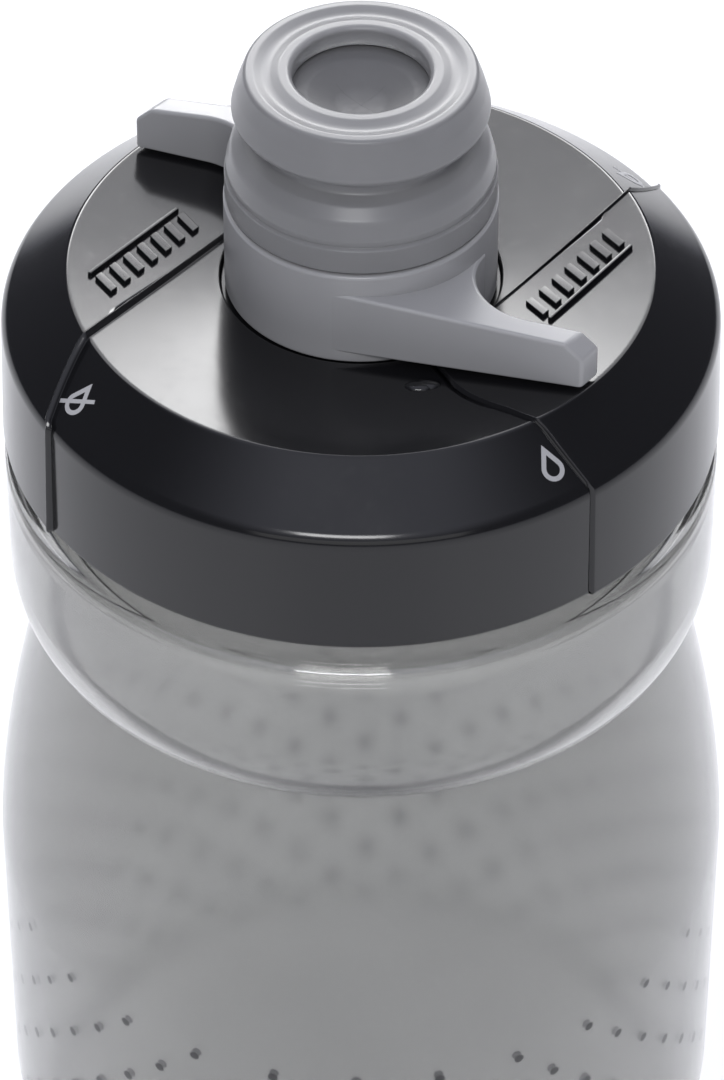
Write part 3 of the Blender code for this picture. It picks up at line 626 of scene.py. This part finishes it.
def block(bm, outline, bottom, top, edge, turn=0.0, slice_at=None):
    """Add a prism on a plan outline, its heights given by functions of x and y, its edges rounded.

    slice_at is a point on a plane and the plane's normal: what lies past it is cut away.
    """
    solid = bmesh.new()
    base = solid.faces.new([solid.verts.new((x, y, 0)) for x, y in outline])
    lower = list(base.verts)
    grown = bmesh.ops.extrude_face_region(solid, geom=[base])
    upper = [v for v in grown["geom"] if isinstance(v, bmesh.types.BMVert)]
    for verts, height in ((lower, bottom), (upper, top)):
        for v in verts:
            v.co.z = height(v.co.x, v.co.y)
    if slice_at:
        everything = solid.verts[:] + solid.edges[:] + solid.faces[:]
        cut = bmesh.ops.bisect_plane(
            solid, geom=everything, dist=1e-5, plane_co=slice_at[0], plane_no=slice_at[1],
            clear_outer=True,
        )
        rim = [e for e in cut["geom_cut"] if isinstance(e, bmesh.types.BMEdge)]
        bmesh.ops.contextual_create(solid, geom=rim)
    bmesh.ops.recalc_face_normals(solid, faces=solid.faces)
    corners = [e for e in solid.edges if e.calc_face_angle(0) > math.radians(28)]
    bmesh.ops.bevel(
        solid, geom=corners, offset=edge, segments=3, profile=0.5,
        affect="EDGES", material=-1, clamp_overlap=True,
    )
    place = Matrix.Rotation(turn, 4, "Z") @ Matrix.Translation((0, 0, RIM_Z)) @ Matrix.Scale(MM, 4)
    bmesh.ops.transform(solid, matrix=place, verts=solid.verts)
    add_solid(bm, solid)


def grip_outlines():
    """Plan outlines of the raised bars on the right proud sector, with the rule beside them."""
    turn = math.radians(52.2)
    along = Vector((math.cos(turn), math.sin(turn)))
    across = Vector((along.y, -along.x))
    inner, outer = 15.4, 18.0
    first, step, width, lean = 4.2, 2.0, 0.95, 0.8
    outlines = []
    for i in range(7):
        start = first + step * i
        outlines.append([(start, outer), (start + width, outer),
                         (start + width + lean, inner), (start + lean, inner)])
    outlines.append([(first, 18.9), (17.15, 18.9), (17.15, 18.5), (first, 18.5)])
    return [[tuple(along * a + across * d) for a, d in outline] for outline in outlines]


def make_grip_bars(material):
    bm = bmesh.new()
    for half in (0, 1):
        for outline in grip_outlines():
            block(
                bm, outline,
                lambda x, y: deck_height(math.hypot(x, y)) - 0.2,
                lambda x, y: deck_height(math.hypot(x, y)) + STEP_H + 0.42,
                0.1, math.pi * half,
            )
    piece = finished(bm, "grip_bars", "cap", material)
    add_modifier(piece, "WEIGHTED_NORMAL", weight=60, keep_sharp=True)
    return piece


def make_detents(material):
    """The two low arches on the deck that the lever clicks against."""
    bm = bmesh.new()
    for half in (0, 1):
        for i in range(2):
            spread = math.radians(-1.2 + 2.4 * i)
            before = set(bm.verts)
            bmesh.ops.create_uvsphere(bm, u_segments=24, v_segments=12, radius=1 * MM)
            new = [v for v in bm.verts if v not in before]
            bmesh.ops.scale(bm, verts=new, vec=(1.35, 0.75, 0.42))
            place = Matrix.Rotation(math.pi * half + spread, 4, "Z") @ Matrix.Translation(
                (5.65 * MM, -16.7 * MM, RIM_Z + (deck_height(NUB_R) - 0.05) * MM))
            bmesh.ops.transform(bm, matrix=place, verts=new)
    return finished(bm, "lever_detents", "cap", material)


# ---------------------------------------------------------------- printed symbols
def on_chamfer(sideways, inward, azimuth, lift):
    """A point on the low chamfer; sideways and inward are measured on it from the symbol's middle."""
    slope = math.atan2(-EDGE_Z, EDGE_R - RIM_R)
    r = 30.45 - inward * math.cos(slope)
    z = -(r - RIM_R) * math.tan(slope)
    angle = math.radians(azimuth) + sideways / r
    out = (r + lift * math.sin(slope)) * MM
    height = RIM_Z + (z + lift * math.cos(slope)) * MM
    return Vector((out * math.cos(angle), out * math.sin(angle), height))


def drop_outline(radius):
    """Water drop: a circle whose sides run straight to a tip, tip towards the cap's middle."""
    tip, low, steps = 2.19 * radius, 0.62, 28
    spread = math.acos(radius / tip)
    points = []
    for i in range(steps + 1):
        angle = math.pi / 2 + spread + (math.tau - 2 * spread) * i / steps
        points.append((radius * math.cos(angle), radius * math.sin(angle) - low))
    return points + [(0.0, tip - low)]


def symbol(bm, outlines, azimuth, lift):
    """A thin raised print on one outline, or between an outer outline and an inner one."""
    ink = bmesh.new()
    edges = []
    for outline in outlines:
        ring = [ink.verts.new((x, y, 0)) for x, y in outline]
        edges += [ink.edges.new(pair) for pair in zip(ring, ring[1:] + ring[:1])]
    if len(outlines) > 1:
        bmesh.ops.bridge_loops(ink, edges=edges)
    else:
        bmesh.ops.contextual_create(ink, geom=edges)
    lower = ink.verts[:]
    grown = bmesh.ops.extrude_face_region(ink, geom=ink.faces[:])
    for v in lower:
        v.co = on_chamfer(v.co.x, v.co.y, azimuth, -INK_H)
    for v in grown["geom"]:
        if isinstance(v, bmesh.types.BMVert):
            v.co = on_chamfer(v.co.x, v.co.y, azimuth, lift)
    bmesh.ops.recalc_face_normals(ink, faces=ink.faces)
    add_solid(bm, ink)


def make_symbols(material):
    bm = bmesh.new()
    lean = Vector((0.83, 0.56))
    side = Vector((-lean.y, lean.x)) * 0.2
    middle = Vector((0.0, -0.35))
    corners = ((-2.0, -1), (2.0, -1), (2.0, 1), (-2.0, 1))
    bar = [tuple(middle + lean * a + side * b) for a, b in corners]
    drop = [drop_outline(1.12), drop_outline(0.66)]
    for half in (0, 180):
        symbol(bm, drop, DROP_AZIMUTH + half, 1.5 * INK_H)
        symbol(bm, drop, STRUCK_DROP_AZIMUTH + half, 1.5 * INK_H)
        symbol(bm, [bar], STRUCK_DROP_AZIMUTH + half, 1.8 * INK_H)
    return finished(bm, "valve_symbols", "cap", material, sharp=30)


# ---------------------------------------------------------------- lever
def make_lever(material):
    bm = bmesh.new()
    web_low, web_high, post_top = 5.6, 7.2, 15.0
    section = rounded([
        (0, web_high, 0, 3), (5.4, web_high, 0.4, 3), (5.4, post_top, 0.3, 1), (7.4, post_top, 0.5, 4),
        (7.4, web_high, 0.3, 3), (12.0, web_high, 0.2, 1), (12.0, LEVER_TOP, 0.15, 0),
        (SKIRT_R, LEVER_TOP, 0.42, 8), (SKIRT_R, SKIRT_LOW, 0.25, 1), (10.6, SKIRT_LOW, 0.25, 4),
        (10.6, web_low, 0.5, 4), (0, web_low, 0, 0),
    ], support=0.1)
    lathe(bm, raised(section), 128)
    piece = finished(bm, "lever_hub", "lever", material)
    holes = []
    for side in (-1, 1):
        holes.append(bmesh.new())
        bmesh.ops.create_cone(
            holes[-1], cap_ends=True, segments=32, radius1=1.7 * MM, radius2=1.7 * MM, depth=4 * MM,
            matrix=Matrix.Translation((3.4 * MM * side, 0, RIM_Z + (web_low + web_high) / 2 * MM)),
        )
    cut_away(piece, *holes)
    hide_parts("lever")
    return piece


def wing_outline():
    """Plan of one wing: flat face along -Y, slanted tip, hollow curve behind back to the hub."""
    points = [(-1.2, WING_FACE), (WING_L, WING_FACE), (WING_L + 1.0, WING_BACK)]
    radius, middle = 5.85, 18.2
    steps = 26
    for i in range(steps + 1):
        angle = math.radians(-90 - 110 * i / steps)
        points.append((middle + radius * math.cos(angle), WING_BACK + radius * (1 + math.sin(angle))))
    return points + [(9.5, -2.0), (4.0, -6.5)]


def make_wings(material):
    bm = bmesh.new()

    def top(x, y):
        return 6.75 - 1.25 * x / WING_L

    def bottom(x, y):
        return deck_height(math.hypot(x, y)) + STEP_H + 0.3

    # the tip's top corner is cut at 45 degrees, square to the slanted tip
    cut_x = WING_L - 1.7
    tip = ((cut_x, WING_FACE, top(cut_x, 0)), (0.91, -0.414, 1.0))
    for half in (0, 1):
        block(bm, wing_outline(), bottom, top, 0.4, math.radians(WING_AZIMUTH) + math.pi * half, tip)
    piece = finished(bm, "lever_wings", "lever", material)
    add_modifier(piece, "WEIGHTED_NORMAL", weight=60, keep_sharp=True)
    return piece


# ---------------------------------------------------------------- nozzle and valve
def make_nozzle(material):
    top = NOZZLE_TOP
    section = rounded([
        # mouth and biting head
        (7.0, 20.6, 0, 0), (6.3, 20.6, 0.3, 2), (6.3, top, 0.75, 0), (7.45, top, 0.8, 0),
        (8.65, top - 0.36, 1.6, 0), (9.8, top - 0.02, 0.8, 0), (10.65, top - 0.05, 0.5, 2),
        (11.35, top - 2.0, 3.0, 2), (11.95, 18.55, 0.7, 1),
        # neck, bellows and foot band
        (10.3, 17.6, 0.5, 0), (9.5, 16.9, 0.7, 0), (9.7, 16.0, 0.5, 0), (10.9, 15.4, 0.9, 1),
        (12.0, 14.3, 1.4, 1), (12.45, 12.6, 1.0, 0), (12.45, 12.05, 0.12, 0), (12.2, 11.85, 0.1, 0),
        (12.6, 11.6, 0.2, 2), (12.6, 9.05, 0.15, 0), (11.7, 9.05, 0.1, 1),
        # bore that grips the post
        (11.7, 7.5, 0.2, 3), (7.7, 7.5, 0.2, 8), (7.7, 20.6, 0.2, 0), (7.0, 20.6, 0, 0),
    ], arc=6, support=0.08)
    bm = bmesh.new()
    lathe(bm, raised(section), 128)
    piece = finished(bm, "soft_nozzle", "nozzle", material)
    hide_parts("nozzle")
    return piece


def make_slit_valve(material):
    """Dished disc with two crossed slits cut through it."""
    top = NOZZLE_TOP - VALVE_DROP
    section = rounded([
        (0, top - 1.7, 0, 4), (2.2, top - 1.55, 2.0, 3), (4.9, top - 0.2, 1.5, 3), (6.0, top, 0.8, 1),
        (7.4, top, 0.2, 1), (7.4, top - 1.4, 0.2, 1), (6.0, top - 1.4, 0.8, 3),
        (4.9, top - 1.55, 1.5, 3), (2.2, top - 2.8, 2.0, 4), (0, top - 2.95, 0, 0),
    ])
    bm = bmesh.new()
    lathe(bm, raised(section), 96)
    piece = finished(bm, "slit_valve_disc", "nozzle", material)
    slits = []
    for turn in (45, 135):
        slits.append(bmesh.new())
        blade = Matrix.Diagonal((6.4 * MM, 0.012 * MM, 7 * MM, 1))
        place = Matrix.Translation((0, 0, RIM_Z + (top - 1.0) * MM))
        turned = Matrix.Rotation(math.radians(turn), 4, "Z")
        bmesh.ops.create_cube(slits[-1], size=1, matrix=place @ turned @ blade)
    cut_away(piece, *slits)
    piece.data.set_sharp_from_angle(angle=math.radians(30))
    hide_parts("slit_valve")
    return piece


def make_gasket(material):
    bm = bmesh.new()
    low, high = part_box("cap_gasket")
    inner, outer = 27.1, high.x / MM
    bottom, top = (low.z - RIM_Z) / MM, (high.z - RIM_Z) / MM
    section = rounded([
        (29, top, 0, 1), (outer, top, 0.2, 0), (outer, bottom, 0.2, 2), (inner, bottom, 0.2, 0),
        (inner, top, 0.2, 1), (29, top, 0, 0),
    ])
    lathe(bm, raised(section), 128)
    piece = finished(bm, "lip_gasket", "seal", material)
    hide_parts("cap_gasket")
    return piece


# ---------------------------------------------------------------- stage
def softbox(name, azimuth, elevation, distance, width, height, radiance, colour=(1, 1, 1)):
    """An area light that faces the cap from an azimuth (degrees from +X) and an elevation."""
    data = bpy.data.lights.new(name, "AREA")
    data.shape = "RECTANGLE"
    data.size, data.size_y = width, height
    data.energy = radiance * math.pi * width * height
    data.color = colour
    light = bpy.data.objects.new(name, data)
    a, e = math.radians(azimuth), math.radians(elevation)
    way = Vector((math.cos(a) * math.cos(e), math.sin(a) * math.cos(e), math.sin(e)))
    light.location = Vector((0, 0, RIM_Z)) + way * distance
    light.rotation_mode = "QUATERNION"
    light.rotation_quaternion = way.to_track_quat("Z", "Y")
    light.visible_camera = False
    bpy.context.scene.collection.objects.link(light)
    return light


def make_stage():
    finish = Finish("studio_floor", base_color=(0.9, 0.9, 0.9), roughness=0.9, specular_ior_level=0.0)
    bm = bmesh.new()
    bmesh.ops.create_circle(bm, cap_ends=True, segments=96, radius=3.0)
    mesh = bpy.data.meshes.new("floor")
    bm.to_mesh(mesh)
    bm.free()
    mesh.materials.append(finish.material)
    floor = bpy.data.objects.new("floor", mesh)
    floor.location.z = -0.0002
    bpy.context.scene.collection.objects.link(floor)

    make_sky()
    # azimuth and elevation in degrees; distance, width and height in metres; radiance
    softbox("back_strip", 90, 29.5, 1.6, 1.1, 0.42, 13.0)
    softbox("back_bounce", 90, 50, 1.6, 2.2, 0.7, 2.1)
    softbox("front_key", 264, 46, 1.3, 0.5, 0.24, 13.0)
    softbox("front_fill", 270, 14, 1.6, 1.8, 0.6, 0.8)


def make_sky():
    """A dim room with a soft bluish glow overhead that fades towards both sides."""
    world = bpy.data.worlds.new("studio")
    world.use_nodes = True
    tree = world.node_tree

    def node(kind, *links, **settings):
        made = tree.nodes.new(kind)
        for key, value in settings.items():
            setattr(made, key, value)
        for socket, value in zip(made.inputs, links):
            if isinstance(value, bpy.types.NodeSocket):
                tree.links.new(value, socket)
            else:
                socket.default_value = value
        return made.outputs

    way = node("ShaderNodeSeparateXYZ", node("ShaderNodeTexCoord")["Generated"])
    aside = node("ShaderNodeMath", way["X"], operation="ABSOLUTE")[0]
    high = node("ShaderNodeMapRange", way["Z"], 0.2, 0.8, 0.0, 0.8, interpolation_type="SMOOTHSTEP")[0]
    middle = node("ShaderNodeMapRange", aside, 0.25, 0.72, 1.0, 0.0, interpolation_type="SMOOTHSTEP")[0]
    glow = node("ShaderNodeMath", high, middle, 0.13, operation="MULTIPLY_ADD")[0]
    background = tree.nodes["Background"]
    background.inputs["Color"].default_value = (0.84, 0.86, 1.0, 1)
    tree.links.new(glow, background.inputs["Strength"])
    bpy.context.scene.world = world


# the camera stands in front of the axis, above the cap's rim, and looks down by its tilt
CAMERA_BACK, CAMERA_RISE = 371.9 * MM, 303.0 * MM
CAMERA_TILT = 42.25
LENS, FILM = 171.0, 36.0


def make_camera():
    data = bpy.data.cameras.new("camera")
    data.sensor_width = FILM
    data.lens = LENS
    data.shift_x = 0.0009259
    data.clip_start = 0.02
    camera = bpy.data.objects.new("camera", data)
    camera.location = (0, -CAMERA_BACK, RIM_Z + CAMERA_RISE)
    camera.rotation_euler = (math.radians(90 - CAMERA_TILT), 0, 0)
    bpy.context.scene.collection.objects.link(camera)
    bpy.context.scene.camera = camera
    bpy.context.scene.view_settings.view_transform = "Standard"


def dress_cad_nodes(black, grey, seal):
    """The inner pieces keep their solid shapes and take the finished materials."""
    inner = {"port_disc": black, "port_pad": seal, "lever_seal": seal, "valve_retainer": grey}
    for node, material in inner.items():
        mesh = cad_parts[node].data
        mesh.materials.clear()
        mesh.materials.append(material)


def main():
    black, grey, silicone = gloss_black(), lever_grey(), nozzle_silicone()
    seal, ink = seal_silicone(), pad_print()
    make_body(smoke_plastic())
    make_cap(black)
    make_grip_bars(black)
    make_detents(black)
    make_symbols(ink)
    make_lever(grey)
    make_wings(grey)
    make_nozzle(silicone)
    make_slit_valve(valve_silicone())
    make_gasket(seal)
    dress_cad_nodes(black, grey, seal)
    make_camera()
    make_stage()


main()
